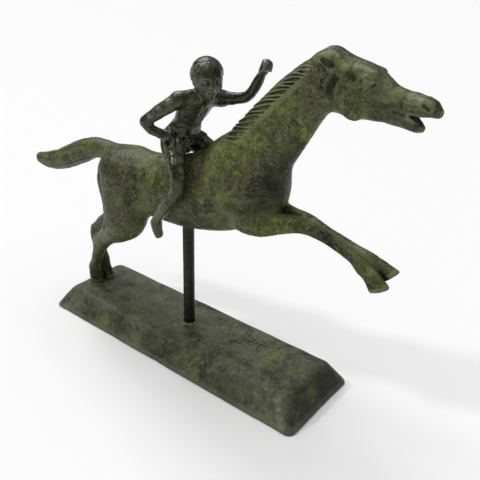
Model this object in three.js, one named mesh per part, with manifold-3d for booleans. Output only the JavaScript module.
// A small cast statuette: a galloping horse with a boy rider, held up by a post on a bevelled plinth.
// Millimetres, +Z up. The horse gallops along +X and its left side faces +Y.
// The origin is the centre of the plinth's underside.
import * as THREE from 'three';
import Module from 'manifold-3d';
import { mergeVertices } from 'three/addons/utils/BufferGeometryUtils.js';

const wasm = await Module();
wasm.setup();

// Plinth
const PLINTH_LENGTH = 200;
const PLINTH_WIDTH = 62;
const PLINTH_HEIGHT = 15;
const PLINTH_END_SLOPE = 9.4;
const PLINTH_SIDE_SLOPE = 8.9;
const PLINTH_CORNER_RADIUS = 5;
const PLINTH_TOP_EDGE = 2.6;
const PLINTH_TOP_EDGE_IN = 1.3;
const PLINTH_FOOT_EDGE = 1.2;
const PLINTH_CORNER_FACETS = 6;
const PLINTH_EDGE_FACETS = 4;

// Post
const POST_DIAMETER = 7;
const POST_FROM_CENTRE = 0;
const POST_CHAMFER = 0.6;
const POST_SIDES = 24;
const POST_SOCKET_IN_PLINTH = 8;
const POST_SOCKET_IN_BELLY = 9;
const POST_CLEARANCE = 0.3;

// Horse and rider, drawn together on one grid of squares: x forward, y left, z up from the plinth's top
const FIGURE_LENGTH = 282;
const FIGURE_GRID_LENGTH = 282;
const HIND_HOOVES_FROM_PLINTH_END = 17;
const SEAT_CLEARANCE = 0.3;

// How finely each figure's surface is made: the step between samples and the space they fill,
// in grid squares, and the facets the finished surface may have
const HORSE_SURFACE = { low: [-152, -28, -4], high: [146, 28, 186], cell: 1.6, facets: 5900 };
const RIDER_SURFACE = { low: [-24, -30, 60], high: [50, 30, 172], cell: 1, facets: 2850 };

const SQUARE = FIGURE_LENGTH / FIGURE_GRID_LENGTH;
const HIND_HOOVES_ON_GRID = -83;
const FIGURE_X = HIND_HOOVES_FROM_PLINTH_END - PLINTH_LENGTH / 2 - HIND_HOOVES_ON_GRID * SQUARE;

const SIDES = [-1, 1];
const NEAR = -1;
const FAR = 1;

// Forms
// A limb is a rounded form along a smooth line of stations [x, y, z, deep, wide]:
// wide is its half width along the side direction and deep its half depth across that.

function limb(blend, stations, options = {}) {
  const rows = smoothLine(stations, options.steps ?? 4);
  const side = new THREE.Vector3(...(options.side ?? [0, 1, 0])).normalize().toArray();
  const segments = [];
  for (let n = 0; n + 1 < rows.length; n++) segments.push(limbSegment(rows[n], rows[n + 1], side));
  return { segments, blend, hollow: options.hollow ?? false, trim: options.trim };
}

// The straight piece of a limb between two stations
function limbSegment([x, y, z, deep, wide], [endX, endY, endZ, endDeep, endWide], side) {
  const [dx, dy, dz] = [endX - x, endY - y, endZ - z];
  const [sx, sy, sz] = side;
  const perLength = 1 / (dx * dx + dy * dy + dz * dz);
  const moreDeep = endDeep - deep;
  const moreWide = endWide - wide;
  return { x, y, z, dx, dy, dz, sx, sy, sz, perLength, deep, wide, moreDeep, moreWide };
}

function smoothLine(stations, steps) {
  if (stations.length < 3) return stations;
  const last = stations.length - 1;
  const beyond = (end, next) => end.map((value, k) => 2 * value - next[k]);
  const before = beyond(stations[0], stations[1]);
  const after = beyond(stations[last], stations[last - 1]);
  const padded = [before, ...stations, after];
  const rows = [];
  for (let i = 1; i <= last; i++) {
    for (let step = 0; step < steps; step++) {
      rows.push(curvePoint(padded.slice(i - 1, i + 3), step / steps));
    }
  }
  rows.push(stations[last]);
  return rows;
}

// One point of a Catmull-Rom curve between the middle two of four stations
function curvePoint([before, start, end, after], t) {
  return start.map((value, k) => {
    const slope = end[k] - before[k];
    const bend = 2 * before[k] - 5 * value + 4 * end[k] - after[k];
    const twist = 3 * value - before[k] - 3 * end[k] + after[k];
    return 0.5 * (2 * value + slope * t + bend * t * t + twist * t * t * t);
  });
}

function smoothMin(a, b, width) {
  const h = Math.max(width - Math.abs(a - b), 0) / width;
  return Math.min(a, b) - h * h * width * 0.25;
}

function smoothMax(a, b, width) {
  return -smoothMin(-a, -b, width);
}

// Roughly the distance from a point to the skin of one piece of a limb, below zero inside it
function segmentDistance(segment, x, y, z) {
  const px = x - segment.x;
  const py = y - segment.y;
  const pz = z - segment.z;
  const along = (px * segment.dx + py * segment.dy + pz * segment.dz) * segment.perLength;
  const t = Math.min(Math.max(along, 0), 1);
  const qx = px - t * segment.dx;
  const qy = py - t * segment.dy;
  const qz = pz - t * segment.dz;
  const deep = segment.deep + segment.moreDeep * t;
  const wide = segment.wide + segment.moreWide * t;
  const across = qx * segment.sx + qy * segment.sy + qz * segment.sz;
  const byWidth = (across * across) / (wide * wide);
  const byDepth = Math.max(qx * qx + qy * qy + qz * qz - across * across, 0) / (deep * deep);
  const slope = Math.sqrt(byDepth / (deep * deep) + byWidth / (wide * wide));
  if (slope < 1e-9) return -Math.min(deep, wide);
  const ratio = Math.sqrt(byDepth + byWidth);
  return (ratio * (ratio - 1)) / slope;
}

function formDistance(form, x, y, z) {
  let distance = Infinity;
  for (const segment of form.segments) distance = Math.min(distance, segmentDistance(segment, x, y, z));
  if (!form.trim) return distance;
  const [tx, ty, tz] = form.trim.point;
  const [nx, ny, nz] = form.trim.normal;
  return smoothMax(distance, (x - tx) * nx + (y - ty) * ny + (z - tz) * nz, form.trim.blend);
}

// The joined body of all forms: solid ones melt into it, hollow ones are cut out of it
function bodyField(forms) {
  const FAR_AWAY = 60;
  return (x, y, z) => {
    let value = FAR_AWAY;
    for (const form of forms) {
      const distance = formDistance(form, x, y, z);
      value = form.hollow ? smoothMax(value, -distance, form.blend) : smoothMin(value, distance, form.blend);
    }
    return value;
  };
}

// What a form's rough distances may be out by
const SLACK = 1.25;

// Only what matters within a radius round a place: the forms that reach it, and of each the nearest pieces
function formsNear(forms, [x, y, z], radius) {
  const near = [];
  for (const form of forms) {
    const distances = form.segments.map((segment) => segmentDistance(segment, x, y, z));
    const nearest = Math.min(...distances);
    if (nearest > SLACK * (radius + form.blend)) continue;
    const segments = form.segments.filter((_, n) => distances[n] < nearest + 2 * SLACK * radius);
    near.push({ ...form, segments });
  }
  return near;
}

// Surfaces

// Samples the forms' field on a grid, with fine samples only in blocks that its surface may pass through
function sampleForms(forms, { low, high, cell }) {
  const BLOCK = 4;
  const side = BLOCK * cell;
  const halfDiagonal = (Math.sqrt(3) / 2) * side;
  const size = low.map((value, axis) => Math.ceil((high[axis] - value) / side) * BLOCK + 1);
  const indexOf = (i, j, k) => (k * size[1] + j) * size[0] + i;
  const values = new Float64Array(size[0] * size[1] * size[2]).fill(NaN);
  const blocks = [];
  for (let k = 0; k + BLOCK < size[2]; k += BLOCK) {
    for (let j = 0; j + BLOCK < size[1]; j += BLOCK) {
      for (let i = 0; i + BLOCK < size[0]; i += BLOCK) {
        const centre = [i, j, k].map((step, axis) => low[axis] + step * cell + side / 2);
        const near = formsNear(forms, centre, halfDiagonal);
        const field = bodyField(near);
        if (Math.abs(field(...centre)) > SLACK * halfDiagonal) continue;
        blocks.push([i, j, k]);
        for (let c = k; c <= k + BLOCK; c++) {
          for (let b = j; b <= j + BLOCK; b++) {
            for (let a = i; a <= i + BLOCK; a++) {
              const index = indexOf(a, b, c);
              if (!Number.isNaN(values[index])) continue;
              const value = field(low[0] + a * cell, low[1] + b * cell, low[2] + c * cell);
              values[index] = value === 0 ? Number.EPSILON : value;
            }
          }
        }
      }
    }
  }
  return { values, indexOf, blocks, block: BLOCK, low, cell };
}

// Closed triangle surface where the forms' field is zero
function surfaceOf(forms, extent) {
  const grid = sampleForms(forms, extent);
  const positions = [];
  const triangles = [];
  const edgeVertices = new Map();

  const crossing = (a, b) => {
    const [first, second] = a.index < b.index ? [a, b] : [b, a];
    const way = (second.i - first.i) | ((second.j - first.j) << 1) | ((second.k - first.k) << 2);
    const key = first.index * 8 + way;
    let vertex = edgeVertices.get(key);
    if (vertex === undefined) {
      const t = first.value / (first.value - second.value);
      vertex = positions.length / 3;
      for (const [axis, name] of ['i', 'j', 'k'].entries()) {
        positions.push(grid.low[axis] + grid.cell * (first[name] + (second[name] - first[name]) * t));
      }
      edgeVertices.set(key, vertex);
    }
    return vertex;
  };

  const addTriangle = (turned, a, b, c) => {
    if (turned) triangles.push(a, c, b);
    else triangles.push(a, b, c);
  };

  // The facets that part the corners inside from those outside, the smaller set taken first
  const cutTetrahedron = (corners, turned) => {
    const inside = corners.filter(({ value }) => value < 0);
    const outside = corners.filter(({ value }) => value >= 0);
    if (inside.length === 0 || outside.length === 0) return;
    const few = inside.length <= outside.length ? inside : outside;
    const many = few === inside ? outside : inside;
    const order = [...few, ...many].map((corner) => corners.indexOf(corner));
    let flipped = turned !== (few === outside);
    order.forEach((one, n) => {
      for (const other of order.slice(n + 1)) {
        if (one > other) flipped = !flipped;
      }
    });
    if (few.length === 1) {
      addTriangle(flipped, ...many.map((corner) => crossing(few[0], corner)));
      return;
    }
    const [a, b, c, d] = [...few, ...many];
    const loop = [crossing(a, c), crossing(a, d), crossing(b, d), crossing(b, c)];
    addTriangle(flipped, loop[0], loop[1], loop[2]);
    addTriangle(flipped, loop[0], loop[2], loop[3]);
  };

  const walkCell = (i, j, k) => {
    const corners = [];
    let inside = 0;
    for (let n = 0; n < 8; n++) {
      const corner = { i: i + (n & 1), j: j + ((n >> 1) & 1), k: k + (n >> 2) };
      corner.index = grid.indexOf(corner.i, corner.j, corner.k);
      corner.value = grid.values[corner.index];
      if (corner.value < 0) inside += 1;
      corners.push(corner);
    }
    if (inside === 0 || inside === 8) return;
    // every way from the lowest corner to the highest one along the cell's edges makes one tetrahedron
    for (let axis = 0; axis < 3; axis++) {
      for (const turn of [1, 2]) {
        const first = 1 << axis;
        const second = 1 << ((axis + turn) % 3);
        cutTetrahedron([corners[0], corners[first], corners[first | second], corners[7]], turn === 2);
      }
    }
  };

  for (const [i, j, k] of grid.blocks) {
    for (let c = 0; c < grid.block; c++) {
      for (let b = 0; b < grid.block; b++) {
        for (let a = 0; a < grid.block; a++) {
          walkCell(i + a, j + b, k + c);
        }
      }
    }
  }
  return { positions, triangles };
}

// Fewer facets
// Edges are drawn together, cheapest first, each to the point nearest to the planes of the facets round it.

function facetNormal(positions, a, b, c) {
  const ux = positions[3 * b] - positions[3 * a];
  const uy = positions[3 * b + 1] - positions[3 * a + 1];
  const uz = positions[3 * b + 2] - positions[3 * a + 2];
  const vx = positions[3 * c] - positions[3 * a];
  const vy = positions[3 * c + 1] - positions[3 * a + 1];
  const vz = positions[3 * c + 2] - positions[3 * a + 2];
  return [uy * vz - uz * vy, uz * vx - ux * vz, ux * vy - uy * vx];
}

// Squared distances to a set of planes, as the ten numbers of a symmetric 4x4 matrix for each vertex
function vertexQuadrics(mesh) {
  const quadrics = new Float64Array((mesh.positions.length / 3) * 10);
  for (let t = 0; t < mesh.triangles.length; t += 3) {
    const [a, b, c] = mesh.triangles.slice(t, t + 3);
    const normal = facetNormal(mesh.positions, a, b, c);
    const area = Math.hypot(...normal);
    if (area < 1e-12) continue;
    const [x, y, z] = normal.map((value) => value / area);
    const w = -(x * mesh.positions[3 * a] + y * mesh.positions[3 * a + 1] + z * mesh.positions[3 * a + 2]);
    const plane = [x * x, x * y, x * z, x * w, y * y, y * z, y * w, z * z, z * w, w * w];
    for (const vertex of [a, b, c]) {
      for (let n = 0; n < 10; n++) quadrics[vertex * 10 + n] += plane[n] * area;
    }
  }
  return quadrics;
}

function quadricCost(q, x, y, z) {
  const squares = q[0] * x * x + q[4] * y * y + q[7] * z * z + q[9];
  return squares + 2 * (q[1] * x * y + q[2] * x * z + q[3] * x + q[5] * y * z + q[6] * y + q[8] * z);
}

// The point with the least cost, or nothing where the planes don't fix one
function quadricPoint(q) {
  const [a, b, c, , d, e, , f] = q;
  const determinant = a * (d * f - e * e) - b * (b * f - e * c) + c * (b * e - d * c);
  const scale = Math.max(a, d, f);
  if (Math.abs(determinant) < 1e-3 * scale ** 3) return null;
  const [r, s, t] = [-q[3], -q[6], -q[8]];
  const x = r * (d * f - e * e) - b * (s * f - e * t) + c * (s * e - d * t);
  const y = a * (s * f - t * e) - r * (b * f - e * c) + c * (b * t - s * c);
  const z = a * (d * t - s * e) - b * (b * t - s * c) + r * (b * e - d * c);
  return [x / determinant, y / determinant, z / determinant];
}

// A queue that gives back the entry with the lowest cost first
class CostQueue {
  constructor() {
    this.entries = [];
  }

  push(entry) {
    const { entries } = this;
    let place = entries.push(entry) - 1;
    while (place > 0) {
      const parent = (place - 1) >> 1;
      if (entries[parent].cost <= entry.cost) break;
      entries[place] = entries[parent];
      place = parent;
    }
    entries[place] = entry;
  }

  pop() {
    const { entries } = this;
    const top = entries[0];
    const last = entries.pop();
    if (entries.length === 0) return top;
    let place = 0;
    for (;;) {
      let child = 2 * place + 1;
      if (child >= entries.length) break;
      if (child + 1 < entries.length && entries[child + 1].cost < entries[child].cost) child += 1;
      if (entries[child].cost >= last.cost) break;
      entries[place] = entries[child];
      place = child;
    }
    entries[place] = last;
    return top;
  }
}

class Simplifier {
  constructor(mesh) {
    this.positions = Float64Array.from(mesh.positions);
    this.triangles = Int32Array.from(mesh.triangles);
    this.quadrics = vertexQuadrics(mesh);
    this.stamps = new Int32Array(mesh.positions.length / 3);
    this.around = Array.from({ length: mesh.positions.length / 3 }, () => []);
    this.facets = mesh.triangles.length / 3;
    this.queue = new CostQueue();
    for (let t = 0; t < this.facets; t++) {
      for (let n = 0; n < 3; n++) this.around[this.triangles[3 * t + n]].push(t);
    }
    for (let t = 0; t < this.facets; t++) {
      for (let n = 0; n < 3; n++) {
        const a = this.triangles[3 * t + n];
        const b = this.triangles[3 * t + ((n + 1) % 3)];
        if (a < b) this.offer(a, b);
      }
    }
  }

  // Puts an edge in the queue with the best point to draw it to
  offer(a, b) {
    const SHORT_EDGES_FIRST = 2e-3;
    const p = this.positions;
    const q = new Array(10);
    for (let n = 0; n < 10; n++) q[n] = this.quadrics[a * 10 + n] + this.quadrics[b * 10 + n];
    const length = Math.hypot(...[0, 1, 2].map((axis) => p[3 * a + axis] - p[3 * b + axis]));
    const middle = [0, 1, 2].map((axis) => (p[3 * a + axis] + p[3 * b + axis]) / 2);
    const best = quadricPoint(q);
    const bestIsNear = best && Math.hypot(...best.map((value, axis) => value - middle[axis])) < length;
    const point = bestIsNear ? best : middle;
    const cost = Math.max(quadricCost(q, ...point), 0) + SHORT_EDGES_FIRST * length ** 3;
    this.queue.push({ cost, a, b, point, stampA: this.stamps[a], stampB: this.stamps[b] });
  }

  // The vertices round one: each facet gives the corner that comes after it, so each is met once
  neighbours(vertex) {
    return this.around[vertex].map((t) => {
      const corner = this.triangles[3 * t] === vertex ? 0 : this.triangles[3 * t + 1] === vertex ? 1 : 2;
      return this.triangles[3 * t + ((corner + 1) % 3)];
    });
  }

  // An edge may go only if the surface stays one closed skin and no facet turns over
  mayCollapse({ a, b, point }) {
    const nextToA = this.neighbours(a);
    const shared = this.neighbours(b).filter((vertex) => nextToA.includes(vertex)).length;
    return shared === 2 && !this.turnsOver(a, b, point) && !this.turnsOver(b, a, point);
  }

  turnsOver(vertex, other, point) {
    const FLATTEST = 0.25;
    const p = this.positions;
    const old = [p[3 * vertex], p[3 * vertex + 1], p[3 * vertex + 2]];
    for (const t of this.around[vertex]) {
      const corners = [this.triangles[3 * t], this.triangles[3 * t + 1], this.triangles[3 * t + 2]];
      if (corners.includes(other)) continue;
      const before = facetNormal(p, ...corners);
      for (let axis = 0; axis < 3; axis++) p[3 * vertex + axis] = point[axis];
      const after = facetNormal(p, ...corners);
      for (let axis = 0; axis < 3; axis++) p[3 * vertex + axis] = old[axis];
      const size = Math.hypot(...before) * Math.hypot(...after);
      const turn = before[0] * after[0] + before[1] * after[1] + before[2] * after[2];
      if (size < 1e-12 || turn < FLATTEST * size) return true;
    }
    return false;
  }

  collapse({ a, b, point }) {
    for (const t of this.around[b]) {
      const corners = [this.triangles[3 * t], this.triangles[3 * t + 1], this.triangles[3 * t + 2]];
      if (corners.includes(a)) {
        for (const vertex of corners) {
          if (vertex !== b) this.around[vertex] = this.around[vertex].filter((other) => other !== t);
        }
        this.triangles[3 * t] = -1;
        this.facets -= 1;
      } else {
        this.triangles[3 * t + corners.indexOf(b)] = a;
        this.around[a].push(t);
      }
    }
    this.around[b] = [];
    this.stamps[a] += 1;
    this.stamps[b] += 1;
    for (let axis = 0; axis < 3; axis++) this.positions[3 * a + axis] = point[axis];
    for (let n = 0; n < 10; n++) this.quadrics[a * 10 + n] += this.quadrics[b * 10 + n];
    for (const vertex of this.neighbours(a)) this.offer(a, vertex);
  }

  reduceTo(facets) {
    while (this.facets > facets && this.queue.entries.length > 0) {
      const edge = this.queue.pop();
      const current = edge.stampA === this.stamps[edge.a] && edge.stampB === this.stamps[edge.b];
      if (current && this.mayCollapse(edge)) this.collapse(edge);
    }
    return this.mesh();
  }

  mesh() {
    const renumbered = new Map();
    const positions = [];
    const triangles = [];
    for (let t = 0; t < this.triangles.length; t += 3) {
      if (this.triangles[t] < 0) continue;
      for (let n = 0; n < 3; n++) {
        const vertex = this.triangles[t + n];
        if (!renumbered.has(vertex)) {
          renumbered.set(vertex, positions.length / 3);
          positions.push(...this.positions.slice(3 * vertex, 3 * vertex + 3));
        }
        triangles.push(renumbered.get(vertex));
      }
    }
    return { positions, triangles };
  }
}

// Solids

function solidFromGeometry(geometry) {
  const bare = geometry.clone();
  bare.deleteAttribute('normal');
  bare.deleteAttribute('uv');
  const merged = mergeVertices(bare, 1e-4);
  const vertProperties = Float32Array.from(merged.attributes.position.array);
  const triVerts = Uint32Array.from(merged.index.array);
  return new wasm.Manifold(new wasm.Mesh({ numProp: 3, vertProperties, triVerts }));
}

function geometryFromSolid(solid) {
  const mesh = solid.getMesh();
  const geometry = new THREE.BufferGeometry();
  geometry.setAttribute('position', new THREE.BufferAttribute(Float32Array.from(mesh.vertProperties), 3));
  geometry.setIndex(Array.from(mesh.triVerts));
  geometry.computeVertexNormals();
  return geometry;
}

// A mesh drawn on the figure's grid, at its real size and place over the plinth
function placeOnPlinth(mesh) {
  const geometry = new THREE.BufferGeometry();
  geometry.setAttribute('position', new THREE.Float32BufferAttribute(mesh.positions, 3));
  geometry.setIndex(Array.from(mesh.triangles));
  geometry.scale(SQUARE, SQUARE, SQUARE);
  geometry.translate(FIGURE_X, 0, PLINTH_HEIGHT);
  return geometry;
}

// The same surface moved outwards by a clearance
function grownGeometry(geometry, clearance) {
  const grown = geometry.clone();
  grown.computeVertexNormals();
  const { position, normal } = grown.attributes;
  for (let n = 0; n < position.count; n++) {
    const moved = new THREE.Vector3().fromBufferAttribute(position, n);
    moved.addScaledVector(new THREE.Vector3().fromBufferAttribute(normal, n), clearance);
    position.setXYZ(n, moved.x, moved.y, moved.z);
  }
  return grown;
}

function uprightCylinder(radius, low, high, x, sides) {
  const geometry = new THREE.CylinderGeometry(radius, radius, high - low, sides);
  geometry.rotateX(Math.PI / 2);
  geometry.translate(x, 0, (low + high) / 2);
  return geometry;
}

// Horse

const NECK_LINE = [
  [38, 0, 112, 20, 14], [50, 0, 124, 18, 12], [60.5, 0, 138, 16, 9.6],
  [71, 0, 151, 13.6, 8.2], [80, 0, 160.5, 11.8, 7.6], [88, 0, 165, 11, 7.2],
];

function horseTrunk() {
  return [
    limb(6, [
      [-49, 0, 85.5, 19, 16], [-32, 0, 86, 19.5, 16.5], [-12, 0, 86.8, 20, 17],
      [8, 0, 89.5, 20.5, 17], [30, 0, 96.5, 21, 16.5], [49, 0, 104.5, 18.5, 13.5],
    ]),
    limb(9, [[-6, 0, 97.4, 9, 8], [6, 0, 102.4, 8.6, 7], [18, 0, 108.6, 9.4, 7.5], [30, 0, 115.4, 11, 8]]),
    limb(9, NECK_LINE),
    ...SIDES.map((side) => limb(5, [[55, 5.5 * side, 104, 8, 6], [52, 7 * side, 95, 7, 6]])),
  ];
}

function horseHead() {
  const forms = [
    limb(6, [
      [88, 0, 164.5, 11.2, 7.2], [95, 0, 163.4, 12.2, 7.3], [102, 0, 162.4, 12.2, 7.2],
      [109, 0, 161.6, 9.8, 6], [116, 0, 160.7, 7.2, 4.8], [123, 0, 159.7, 6.4, 4.4], [128, 0, 159.8, 5, 4.2],
    ]),
    limb(3, [[97, 0, 168, 6.4, 6.6], [107, 0, 166.8, 5.4, 6]]),
    limb(2.5, [[126, 0, 161.4, 4.2, 4.2], [132, 0, 161, 3.6, 3.9], [136, 0, 159.9, 1.8, 3]]),
    limb(3, [[110, 0, 156, 5, 4.4], [121, 0, 154.2, 3.2, 3.6], [130, 0, 151.9, 1.7, 2.7]]),
    limb(0.8, [[124, 0, 156.6, 0.4, 6], [130, 0, 155.6, 1.4, 6], [139, 0, 154.6, 2.4, 6]], { hollow: true }),
    limb(3, [[82, 0, 172.4, 4, 3.4], [87.5, 0, 175.8, 4, 3.6], [92.5, 0, 173, 3, 3.2]]),
  ];
  for (const side of SIDES) {
    forms.push(
      // jaw, cheekbone and brow
      limb(3, [[101, 5.2 * side, 156.5, 6, 3], [97, 5 * side, 160, 7, 3]]),
      limb(2.5, [[108, 4.6 * side, 164, 2, 1.6], [118, 3.6 * side, 163.2, 1.4, 1.4]]),
      limb(2, [[101.5, 4.4 * side, 171.6, 1.9, 1.9], [108, 4.7 * side, 170.9, 1.6, 1.6]]),
      // eye in its socket
      limb(1, [[105, 6.6 * side, 168.6, 1.5, 1.6], [109, 6.2 * side, 167.8, 1.4, 1.5]], { hollow: true }),
      limb(0.6, [[105.6, 5.4 * side, 168.5, 1.5, 1.5], [108.2, 5.2 * side, 168, 1.4, 1.4]]),
      // nostril with its raised rim
      limb(1.5, [[130.6, 3.4 * side, 163.6, 1.9, 1.6], [133.4, 3 * side, 162.2, 1.8, 1.5]]),
      limb(0.8, [[131.4, 4.9 * side, 163, 0.8, 1], [133.6, 4.5 * side, 161.6, 0.8, 1]], { hollow: true }),
      // ear, laid back
      limb(2, [
        [91, 4.4 * side, 170.5, 3.6, 2.6], [88, 5 * side, 174.6, 3, 2.2],
        [84.5, 5.2 * side, 176.4, 2, 1.6], [80.5, 5 * side, 176, 0.9, 0.9],
      ]),
      limb(0.8, [[90, 7.4 * side, 172.6, 1, 1], [85, 7.2 * side, 175.2, 0.8, 0.8]], { hollow: true }),
    );
  }
  return forms;
}

// The mane's locks: how many, the stretch of the crest that their tips cover, how far along the neck
// their roots lie, and for each row of a lock its angle down from the crest, its height off the skin
// and its thickness. They are blown back, so that the tips lie on the crest.
const MANE_STROKES = 12;
const MANE_FROM = 0.02;
const MANE_TO = 0.8;
const MANE_SWEEP = 0.19;
const MANE_ROWS = [[0.3, -1.2, 1.5], [0.6, -0.9, 1.8], [0.85, -0.8, 1.7], [1.08, -0.9, 1.4]];
const MANE_EDGE = { angle: 1.12, height: -0.9, thick: 1.4, steps: 8 };

// A point on the neck's skin: share along the neck, angle down its side from the crest, height off the skin
function neckPoint(share, angle, side, height) {
  const line = smoothLine(NECK_LINE, 8);
  const place = Math.min(Math.max(share, 0), 1) * (line.length - 1.001);
  const first = line[Math.floor(place)];
  const second = line[Math.floor(place) + 1];
  const [x, , z, deep, wide] = first.map((value, k) => value + (second[k] - value) * (place % 1));
  const run = Math.hypot(second[0] - first[0], second[2] - first[2]);
  const back = (first[2] - second[2]) / run;
  const up = (second[0] - first[0]) / run;
  const rise = (deep + height) * Math.cos(angle);
  return [x + back * rise, side * (wide + height) * Math.sin(angle), z + up * rise];
}

function horseMane() {
  const forms = [
    limb(3, [
      [16.3, 0, 108.6, 4, 3], [27.1, 0, 117.2, 4.4, 3], [38.8, 0, 129.5, 4.6, 3], [50.7, 0, 143.1, 4.6, 3],
      [61.9, 0, 155.6, 4.8, 3], [72.6, 0, 165.3, 4.6, 3], [81, 0, 170.4, 4.2, 3],
    ]),
  ];
  const [[tipAngle], [rootAngle]] = [MANE_ROWS[0], MANE_ROWS.at(-1)];
  for (const side of SIDES) {
    for (let n = 0; n < MANE_STROKES; n++) {
      const share = MANE_FROM + ((MANE_TO - MANE_FROM) * n) / (MANE_STROKES - 1);
      const lock = MANE_ROWS.map(([angle, height, thick]) => {
        const along = share + (MANE_SWEEP * (angle - tipAngle)) / (rootAngle - tipAngle);
        return [...neckPoint(along, angle, side, height), thick, thick];
      });
      forms.push(limb(0.7, lock, { steps: 2 }));
    }
    // the ridge that the roots grow from
    const ridge = [];
    for (let step = 0; step <= MANE_EDGE.steps; step++) {
      const share = MANE_FROM + MANE_SWEEP + ((MANE_TO - MANE_FROM) * step) / MANE_EDGE.steps;
      const point = neckPoint(share, MANE_EDGE.angle, side, MANE_EDGE.height);
      ridge.push([...point, MANE_EDGE.thick, MANE_EDGE.thick]);
    }
    forms.push(limb(1.5, ridge, { steps: 2 }));
  }
  return forms;
}

function horseTail() {
  return [
    limb(6, [
      [-60, 0, 95, 8, 7], [-70, 0, 98, 6.5, 5.5], [-82, 0, 96.5, 6.8, 5.5], [-96, 0, 90.5, 7.6, 6],
      [-112, 0, 83, 7.4, 5.8], [-128, 0, 77.5, 6.4, 5], [-141, 0, 76, 4.2, 3.6],
    ]),
  ];
}

// A hoof: a short widening block with a flat sole
function hoof(top, sole, deep, wide, soleNormal) {
  return limb(1.2, [[...top, 0.8 * deep, 0.88 * wide], [...sole, deep, wide]], {
    trim: { point: sole, normal: soleNormal, blend: 0.6 },
  });
}

function horseHindLegs() {
  return [
    // near leg
    limb(5, [
      [-47, -6.5, 84, 19.5, 13], [-45, -8.5, 74, 18, 11.8], [-44.5, -10, 64.5, 16, 10.6],
      [-50.5, -10.5, 54.8, 10.8, 8.2], [-58.5, -10, 47.4, 7.3, 6.2], [-66.5, -9, 40.2, 6, 5.2],
      [-72.5, -8, 34, 5.6, 4.8], [-76.5, -7.2, 26.5, 4.3, 4], [-81, -6.3, 18, 3.8, 3.7],
      [-84.2, -5.6, 11.5, 4.1, 4], [-85, -5.3, 7, 3.6, 3.6],
    ]),
    limb(2, [[-76, -7.8, 38.5, 2.6, 2.6], [-78, -7.4, 31, 2, 2.2]]),
    hoof([-84.9, -5.2, 5.4], [-84.3, -5.2, -0.5], 5.3, 4.2, [0, 0, -1]),
    // far leg
    limb(5, [
      [-47, 6.5, 84, 18.5, 13], [-54, 9, 71, 15, 11], [-64, 10, 60, 11.2, 9], [-78, 9.5, 47, 7.4, 6.6],
      [-90, 8.5, 36, 5.8, 5.2], [-95, 7.5, 28.5, 5.4, 4.8], [-92, 6.2, 19.5, 4, 3.8],
      [-87, 4.8, 11.5, 4, 4], [-84.5, 4, 7, 3.5, 3.5],
    ]),
    limb(2, [[-98, 7.5, 33, 2.2, 2.4], [-98.4, 7, 25, 1.8, 2]]),
    hoof([-83.6, 3.9, 5.2], [-82.2, 3.9, -0.5], 5.2, 4.1, [0, 0, -1]),
  ];
}

function horseForelegs() {
  const leg = (side, rows) => limb(4, [
    [42, 8.5 * side, 102, 15, 9], [48, 8.8 * side, 92, 10, 8], [58, 8 * side, 89.5, 7.4, 6.4],
    ...rows.map(([x, y, z, deep, wide]) => [x, y * side, z, deep, wide]),
  ]);
  return [
    leg(NEAR, [
      [68, 5.8, 91.4, 5.5, 5], [77, 4.2, 93.2, 4.3, 4], [84, 3.6, 93, 3.4, 3.3],
      [93.5, 3.3, 91, 2.6, 2.9], [102.5, 3.3, 88.3, 2.6, 2.9], [109.6, 3.4, 85.5, 3, 3],
      [115, 3.6, 82.2, 3.9, 3.5], [119, 3.8, 79.6, 3.1, 3],
    ]),
    hoof([119.8, -3.9, 79], [124.6, -4.1, 74.2], 5, 4.1, [0.42, 0, -0.91]),
    leg(FAR, [
      [68, 5.8, 91, 5.5, 5], [77, 4.2, 92.4, 4.3, 4], [84, 3.6, 92, 3.4, 3.3], [92.3, 3.3, 90.2, 2.7, 2.9],
      [105, 3.3, 87.2, 2.7, 2.9], [114.8, 3.4, 84, 3.5, 3.3], [119.5, 3.5, 82.2, 2.8, 2.9],
    ]),
    hoof([120.4, 3.6, 81.8], [126.4, 3.8, 78.6], 4.6, 4, [0.7, 0, -0.71]),
  ];
}

// A soft hollow line between two muscles
function channel(points) {
  return limb(3, points.map((point) => [...point, 1.2, 1.8]), { hollow: true });
}

function horseChannels() {
  const forms = [];
  for (const side of SIDES) {
    forms.push(
      channel([[40, 18.4 * side, 84], [33, 19.6 * side, 96], [33, 18.4 * side, 110]]),
      channel([[-24, 19.4 * side, 72], [-22, 19.6 * side, 86], [-30, 18.2 * side, 98]]),
      channel([[66, 8.5 * side, 102], [53, 15.2 * side, 98], [44, 18.6 * side, 98]]),
    );
  }
  return forms;
}

function horseForms() {
  return [
    ...horseTrunk(), ...horseTail(), ...horseHindLegs(), ...horseForelegs(),
    ...horseHead(), ...horseMane(), ...horseChannels(),
  ];
}

// Rider

const RIDER_HEAD = { centre: [14.6, -0.4, 154.6], forward: [0.86, -0.5, -0.06], left: [0.5, 0.86, 0] };

// A station of the rider's head: ahead, left and up from its centre, then its half depth and half width
function headStation(ahead, left, up, deep, wide = deep) {
  const forward = new THREE.Vector3(...RIDER_HEAD.forward).normalize();
  const leftward = new THREE.Vector3(...RIDER_HEAD.left).normalize();
  const upward = forward.clone().cross(leftward);
  const place = new THREE.Vector3(...RIDER_HEAD.centre)
    .addScaledVector(forward, ahead)
    .addScaledVector(leftward, left)
    .addScaledVector(upward, up);
  return [...place.toArray(), deep, wide];
}

function headForm(blend, stations, options = {}) {
  const rows = stations.map((station) => headStation(...station));
  return limb(blend, rows, { side: RIDER_HEAD.left, ...options });
}

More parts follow.
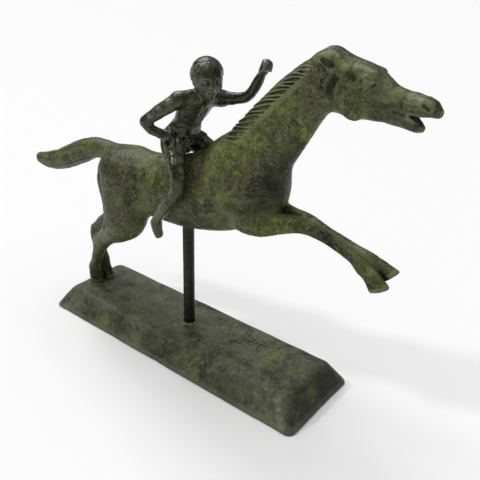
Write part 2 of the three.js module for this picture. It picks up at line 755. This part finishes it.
function riderHead() {
  const forms = [
    headForm(2, [[-1, 0, 2, 8.4, 7.6], [1, 0, 0.8, 8, 7.2]]),
    headForm(2.5, [[1.6, 0, -0.5, 7, 6.2], [3.4, 0, -5.2, 4.4, 4.2], [4.4, 0, -7, 2.8, 3]]),
    // nose, lips and chin
    headForm(1.2, [[7.8, 0, 1.4, 1], [9.1, 0, -1.9, 1.2], [8.8, 0, -2.5, 1.2, 1.6]]),
    headForm(0.9, [[7.2, -1.7, -4.7, 0.8], [7.7, 0, -4.6, 0.9], [7.2, 1.7, -4.7, 0.8]]),
    headForm(0.9, [[6.8, -1.2, -6, 0.8], [7.1, 0, -6, 0.9], [6.8, 1.2, -6, 0.8]]),
    headForm(1.5, [[5.8, 0, -8.2, 1.8], [5.3, 0, -8.4, 1.8]]),
  ];
  for (const side of SIDES) {
    forms.push(
      // brow, eye and cheek
      headForm(1.2, [[7.3, 1.2 * side, 1.8, 1], [6.7, 4.3 * side, 1.9, 1]]),
      headForm(1, [[8.5, 2.8 * side, 0.2, 1.2], [8.1, 3.7 * side, 0.1, 1.1]], { hollow: true }),
      headForm(0.4, [[6.8, 3.1 * side, 0.1, 1.1], [6.6, 3.4 * side, 0.1, 1]]),
      headForm(2, [[5, 3.8 * side, -2.5, 2.1], [4.4, 4 * side, -3.2, 2.1]]),
      // ear
      headForm(0.8, [[-0.6, 6.9 * side, 0.4, 1.5, 1], [-0.2, 6.8 * side, -1.7, 1.2, 0.9]]),
    );
  }
  return forms;
}

// The hair is a cap of short waved locks that run down from the crown. HAIR_DOWN is the angle from the
// crown to its edge, and HAIR_ROWS are the shares of that angle at which a lock has its stations.
const HAIR_LOCKS = 16;
const HAIR_THICK = 1.5;
const HAIR_TAPER = 0.35;
const HAIR_WAVE = { turn: 0.12, step: 2.4 };
const HAIR_SKULL = { ahead: -0.5, up: 1.9, deep: 8.1, wide: 7.5, high: 8.1 };
const HAIR_DOWN = { brow: 0.95, ears: 1.75, nape: 2.1 };
const HAIR_ROWS = [0.12, 0.42, 0.72, 1];

function hairPoint(turn, down) {
  const { ahead, up, deep, wide, high } = HAIR_SKULL;
  return [
    ahead + deep * Math.sin(down) * Math.cos(turn),
    wide * Math.sin(down) * Math.sin(turn),
    up + high * Math.cos(down),
  ];
}

// How far down from the crown the hair reaches on one side of the head
function hairReach(turn) {
  const { brow, ears, nape } = HAIR_DOWN;
  const facing = Math.cos(turn);
  return facing > 0 ? ears + (brow - ears) * Math.sqrt(facing) : ears + (nape - ears) * -facing;
}

function riderHair() {
  const forms = [headForm(1.5, [[-0.5, 0, 3, 8.1, 7.6], [-1.3, 0, 0, 7.6, 7.4]])];
  for (let n = 0; n < HAIR_LOCKS; n++) {
    const turn = (2 * Math.PI * (n + 0.5)) / HAIR_LOCKS;
    const reach = hairReach(turn);
    const lock = HAIR_ROWS.map((share, row) => {
      const wave = HAIR_WAVE.turn * Math.sin(HAIR_WAVE.step * row + n);
      const thick = HAIR_THICK * (1 - HAIR_TAPER * share);
      return [...hairPoint(turn + wave, share * reach), thick, thick];
    });
    forms.push(headForm(0.7, lock));
  }
  return forms;
}

// The rider's body is turned a little, so that its side direction leans back on the left
const BODY_SIDE = [0.17, 0.98, 0];

function riderBody() {
  return [
    // seat, waist, chest and shoulders
    limb(3, [
      [-6, 0, 113.5, 5.2, 8.6], [-5.4, 0, 118.5, 5.4, 9], [-2.8, 0, 123.5, 5.6, 8.4],
      [-0.6, 0, 128, 5.6, 7.8], [2.6, 0, 134, 6.2, 9.2], [6.4, 0, 139.5, 6.4, 10.2], [9, 0, 143, 5, 8.8],
    ], { side: BODY_SIDE }),
    limb(3, [[4.8, -10.8, 144.2, 4.3, 4.3], [9.8, 0.3, 144.2, 4.5, 4.5], [14.4, 11, 142.8, 4.3, 4.3]], {
      side: [0, 0, 1],
    }),
    limb(2.5, [[11, 0, 144, 4.3, 4.3], [13.4, -0.5, 149.5, 4.1, 4.1]]),
  ];
}

function riderArms() {
  return [
    // near arm, its closed hand at the waist
    limb(2, [[4.6, -11.2, 143.8, 4.1, 4.1], [-3.6, -15.8, 138, 3.7, 3.6], [-12.2, -19, 131, 3.1, 3]]),
    limb(1.5, [[-12.2, -19, 130.4, 3.1, 3], [-9.4, -18, 127.2, 2.9, 2.7], [-5.6, -15.8, 125.2, 2.4, 2.3]]),
    limb(1.2, [[-4.6, -15, 124.8, 2.9, 2.8], [-2, -13.4, 124.2, 3.1, 3]]),
    // far arm, raised
    limb(2, [
      [14.6, 11.2, 142.6, 4, 4], [22, 13.5, 143.5, 3.2, 3.1], [28.6, 14.5, 145.2, 2.8, 2.7],
      [32.8, 14.6, 149.2, 2.8, 2.6], [36, 14.5, 154.4, 2.6, 2.5], [38.6, 14.2, 158.6, 2, 2],
    ]),
    limb(1.2, [[39.6, 14, 160.6, 2.8, 2.8], [41.4, 13.8, 163.4, 3.2, 3.1]]),
  ];
}

// The legs hang down the horse's sides, each with its thigh, shin and foot
const LEG_RESTS = [{ side: NEAR, ahead: 0, up: 0 }, { side: FAR, ahead: -3.5, up: -0.6 }];
const THIGH = [[-4.4, 6.6, 119.6, 6, 5.8], [1.8, 12.4, 115.4, 5.4, 5.2], [8.4, 17.6, 109.8, 4.6, 4.4]];
const SHIN = [
  [8.6, 17.8, 109.4, 4.5, 4.3], [11.4, 19.9, 103.6, 4.2, 4.1], [10.4, 20.5, 96.8, 4, 3.9],
  [4.2, 20.9, 88.6, 3.9, 3.8], [-3, 20.8, 79.4, 2.9, 2.8], [-5.6, 20.5, 74.6, 2.7, 2.7],
];
const FOOT = [[-5.8, 20.5, 74.6, 2.9, 2.7], [-4.8, 20.6, 71, 2.6, 2.6], [-3.8, 20.6, 67.6, 1.7, 2.2]];

function onLeg({ side, ahead, up }, stations) {
  return stations.map(([x, y, z, deep, wide]) => [x + ahead, y * side, z + up, deep, wide]);
}

function riderLegs() {
  return LEG_RESTS.flatMap((rest) => [
    limb(3, onLeg(rest, THIGH)), limb(2, onLeg(rest, SHIN)), limb(1.8, onLeg(rest, FOOT)),
  ]);
}

const WAIST = { x: -1, z: 127.4, deep: 5.7, wide: 8 };
const WAIST_CORD = 1;
const CORD_STEPS = 16;
const TUNIC_THICKNESS = 1.1;
const TUNIC_DOWN_THIGH = 0.58;
const TUNIC_FOLDS = 9;

// The skirt of the short tunic over one thigh, cut off at its hem, with folds that open towards it
function tunicSkirt(rest) {
  const [hip, thigh] = onLeg(rest, THIGH);
  const waist = [WAIST.x, 2.6 * rest.side, WAIST.z - 1, WAIST.deep, WAIST.wide - 2.6];
  const hem = hip.map((value, k) => value + (thigh[k] - value) * 2 * TUNIC_DOWN_THIGH);
  const skirt = [waist, hip, hem].map(([x, y, z, deep, wide]) => (
    [x, y, z, deep + TUNIC_THICKNESS, wide + TUNIC_THICKNESS]
  ));
  const along = new THREE.Vector3(hem[0] - hip[0], hem[1] - hip[1], hem[2] - hip[2]).normalize();
  const across = new THREE.Vector3(0, 0, 1).cross(along).normalize();
  const outward = along.clone().cross(across);
  const trim = { point: hem.slice(0, 3), normal: along.toArray(), blend: 0.8 };
  const forms = [limb(1.5, skirt, { trim })];
  for (let n = 0; n < TUNIC_FOLDS; n++) {
    const angle = (2 * Math.PI * n) / TUNIC_FOLDS;
    const radius = [skirt[1][3] + 0.3, skirt[2][3] + 0.2];
    const fold = [hip, hem].map(([x, y, z], end) => {
      const place = new THREE.Vector3(x, y, z)
        .addScaledVector(across, radius[end] * Math.cos(angle))
        .addScaledVector(outward, radius[end] * Math.sin(angle));
      const thick = 0.4 + 0.7 * end;
      return [...place.toArray(), thick, thick];
    });
    forms.push(limb(1, fold, { hollow: true }));
  }
  return forms;
}

// A short tunic: its skirts and a cord round the waist
function riderTunic() {
  const cord = [];
  for (let n = 0; n <= CORD_STEPS; n++) {
    const angle = (2 * Math.PI * n) / CORD_STEPS;
    const left = WAIST.wide * Math.sin(angle);
    const ahead = WAIST.deep * Math.cos(angle) - BODY_SIDE[0] * left;
    cord.push([WAIST.x + ahead, left, WAIST.z, WAIST_CORD, WAIST_CORD]);
  }
  return [...LEG_RESTS.flatMap(tunicSkirt), limb(0.6, cord, { steps: 1 })];
}

function riderForms() {
  return [
    ...riderBody(), ...riderLegs(), ...riderTunic(), ...riderArms(), ...riderHead(), ...riderHair(),
  ];
}

// Plinth

// A rectangle with round corners, as points in order round it
function roundedRectangle(halfLength, halfWidth, radius) {
  const points = [];
  for (let quarter = 0; quarter < 4; quarter++) {
    const signX = quarter === 0 || quarter === 3 ? 1 : -1;
    const signY = quarter < 2 ? 1 : -1;
    for (let step = 0; step <= PLINTH_CORNER_FACETS; step++) {
      const angle = (quarter + step / PLINTH_CORNER_FACETS) * (Math.PI / 2);
      points.push([
        signX * (halfLength - radius) + radius * Math.cos(angle),
        signY * (halfWidth - radius) + radius * Math.sin(angle),
      ]);
    }
  }
  return points;
}

// Heights and how far each lies up the slope, with the foot and the top edge rounded
function plinthLevels() {
  const levels = [];
  const share = (z) => Math.max(z - PLINTH_FOOT_EDGE, 0) / (PLINTH_HEIGHT - PLINTH_FOOT_EDGE);
  for (let step = 0; step <= PLINTH_EDGE_FACETS; step++) {
    const angle = (step / PLINTH_EDGE_FACETS) * (Math.PI / 2);
    const z = PLINTH_FOOT_EDGE * (1 - Math.cos(angle));
    levels.push({ z, slope: share(z), inset: PLINTH_FOOT_EDGE * (1 - Math.sin(angle)) });
  }
  for (let step = 0; step <= PLINTH_EDGE_FACETS; step++) {
    const angle = (step / PLINTH_EDGE_FACETS) * (Math.PI / 2);
    const z = PLINTH_HEIGHT - PLINTH_TOP_EDGE * (1 - Math.sin(angle));
    levels.push({ z, slope: share(z), inset: PLINTH_TOP_EDGE_IN * (1 - Math.cos(angle)) });
  }
  return levels;
}

function plinthGeometry() {
  const rings = plinthLevels().map(({ z, slope, inset }) => {
    const halfLength = PLINTH_LENGTH / 2 - slope * PLINTH_END_SLOPE - inset;
    const halfWidth = PLINTH_WIDTH / 2 - slope * PLINTH_SIDE_SLOPE - inset;
    return roundedRectangle(halfLength, halfWidth, PLINTH_CORNER_RADIUS).map(([x, y]) => [x, y, z]);
  });
  const around = rings[0].length;
  const positions = rings.flat(2);
  const index = [];
  for (let level = 0; level + 1 < rings.length; level++) {
    for (let n = 0; n < around; n++) {
      const a = level * around + n;
      const b = level * around + ((n + 1) % around);
      index.push(a, b, b + around, a, b + around, a + around);
    }
  }
  const top = (rings.length - 1) * around;
  for (let n = 1; n + 1 < around; n++) {
    index.push(0, n + 1, n);
    index.push(top, top + n, top + n + 1);
  }
  const geometry = new THREE.BufferGeometry();
  geometry.setAttribute('position', new THREE.Float32BufferAttribute(positions, 3));
  geometry.setIndex(index);
  return geometry;
}

// Fits between the pieces

// Where the post's line meets the horse's belly, above the plinth's top on the figure's grid
function bellyHeight(field) {
  const x = (POST_FROM_CENTRE - FIGURE_X) / SQUARE;
  const CREEP = 0.25;
  let z = 0;
  while (field(x, 0, z) > 0) z += CREEP;
  return z * SQUARE + PLINTH_HEIGHT;
}

function postGeometry(low, high) {
  const radius = POST_DIAMETER / 2;
  const profile = [
    [0, low], [radius - POST_CHAMFER, low], [radius, low + POST_CHAMFER],
    [radius, high - POST_CHAMFER], [radius - POST_CHAMFER, high], [0, high],
  ].map(([r, z]) => new THREE.Vector2(r, z));
  const geometry = new THREE.LatheGeometry(profile, POST_SIDES);
  geometry.rotateX(Math.PI / 2);
  geometry.translate(POST_FROM_CENTRE, 0, 0);
  return geometry;
}

function buildPieces() {
  const belly = bellyHeight(bodyField(horseForms()));
  const socketRadius = POST_DIAMETER / 2 + POST_CLEARANCE;
  const postLow = PLINTH_HEIGHT - POST_SOCKET_IN_PLINTH;
  const postHigh = belly + POST_SOCKET_IN_BELLY;

  const horseMesh = surfaceOf(horseForms(), HORSE_SURFACE);
  const horseGeometry = placeOnPlinth(new Simplifier(horseMesh).reduceTo(HORSE_SURFACE.facets));
  const ground = new THREE.BoxGeometry(2 * FIGURE_LENGTH, 2 * PLINTH_WIDTH, PLINTH_HEIGHT);
  ground.translate(0, 0, PLINTH_HEIGHT / 2);
  const bellySocket = uprightCylinder(
    socketRadius, PLINTH_HEIGHT, postHigh + POST_CLEARANCE, POST_FROM_CENTRE, POST_SIDES,
  );
  const horse = solidFromGeometry(horseGeometry)
    .subtract(solidFromGeometry(ground))
    .subtract(solidFromGeometry(bellySocket));

  const riderMesh = surfaceOf(riderForms(), RIDER_SURFACE);
  const riderGeometry = placeOnPlinth(new Simplifier(riderMesh).reduceTo(RIDER_SURFACE.facets));
  const rider = solidFromGeometry(riderGeometry)
    .subtract(solidFromGeometry(grownGeometry(horseGeometry, SEAT_CLEARANCE)));

  const plinthSocket = uprightCylinder(
    socketRadius, postLow - POST_CLEARANCE, PLINTH_HEIGHT + POST_SOCKET_IN_PLINTH,
    POST_FROM_CENTRE, POST_SIDES,
  );
  const plinth = solidFromGeometry(plinthGeometry()).subtract(solidFromGeometry(plinthSocket));

  return {
    horse: geometryFromSolid(horse),
    rider: geometryFromSolid(rider),
    post: postGeometry(postLow, postHigh),
    plinth: geometryFromSolid(plinth),
  };
}

// Finishes and the finished group

const FINISHES = {
  horse: { color: 0x4d5438, roughness: 0.5, metalness: 0.6 },
  rider: { color: 0x23281d, roughness: 0.3, metalness: 0.7 },
  post: { color: 0x33352c, roughness: 0.45, metalness: 0.7 },
  plinth: { color: 0x4a4f3a, roughness: 0.55, metalness: 0.6 },
};

function buildStatuette() {
  const group = new THREE.Group();
  for (const [name, geometry] of Object.entries(buildPieces())) {
    const mesh = new THREE.Mesh(geometry, new THREE.MeshStandardMaterial(FINISHES[name]));
    mesh.name = name;
    group.add(mesh);
  }
  return group;
}

export default buildStatuette();
